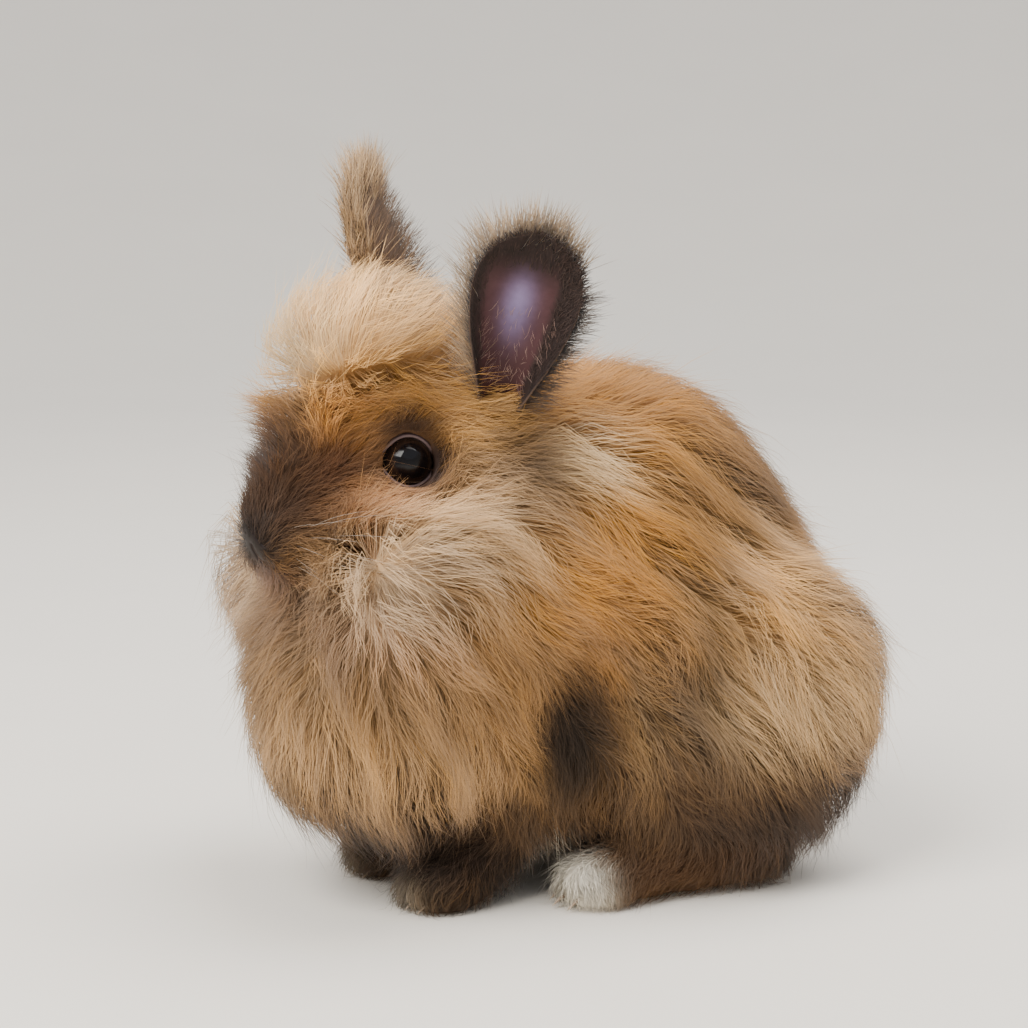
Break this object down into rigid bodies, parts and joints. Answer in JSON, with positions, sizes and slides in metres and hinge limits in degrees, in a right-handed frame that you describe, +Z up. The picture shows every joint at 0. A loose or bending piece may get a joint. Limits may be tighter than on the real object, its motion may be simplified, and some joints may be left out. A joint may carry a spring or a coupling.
{
  "type": "lionhead rabbit",
  "caption": "Life-size lionhead rabbit sitting hunched with its feet under it, head turned a little to its left, with a shaggy mane, forelock, bib and fringed upright ears",
  "frame": {"origin": "on the floor, under the middle of the animal's length and width", "axes": "+Z up, the rabbit's body faces -Y and its left side is +X; its head is turned about ten degrees to its left"},
  "size_m": [0.1602, 0.2044, 0.2222],
  "materials": {
    "face_fur": "soft short to long fur, dark brown on the muzzle, orange round the eyes, cream on the cheeks and forelock",
    "mane_fur": "long wispy fur, golden tan fading to mauve brown at its lower edge",
    "body_fur": "long soft fur, orange brown on the back, peach tan on the haunches, sooty on the flanks and low on the rump",
    "foot_fur": "short dense fur, very dark brown with paler toe tips",
    "ear_fur": "thin skin, mauve pink inside a charcoal rim, with a long tan fringe",
    "eye": "wet glossy dark brown, nearly black"
  },
  "bodies": {
    "root": {"head": "face_fur", "neck": "mane_fur", "torso": "body_fur", "tail": "body_fur", "hind_leg_left": "body_fur", "hind_leg_right": "body_fur", "fore_leg_left": "foot_fur", "fore_leg_right": "foot_fur", "ear_left": "ear_fur", "ear_right": "ear_fur", "eye_left": "eye", "eye_right": "eye"}
  },
  "joints": []
}
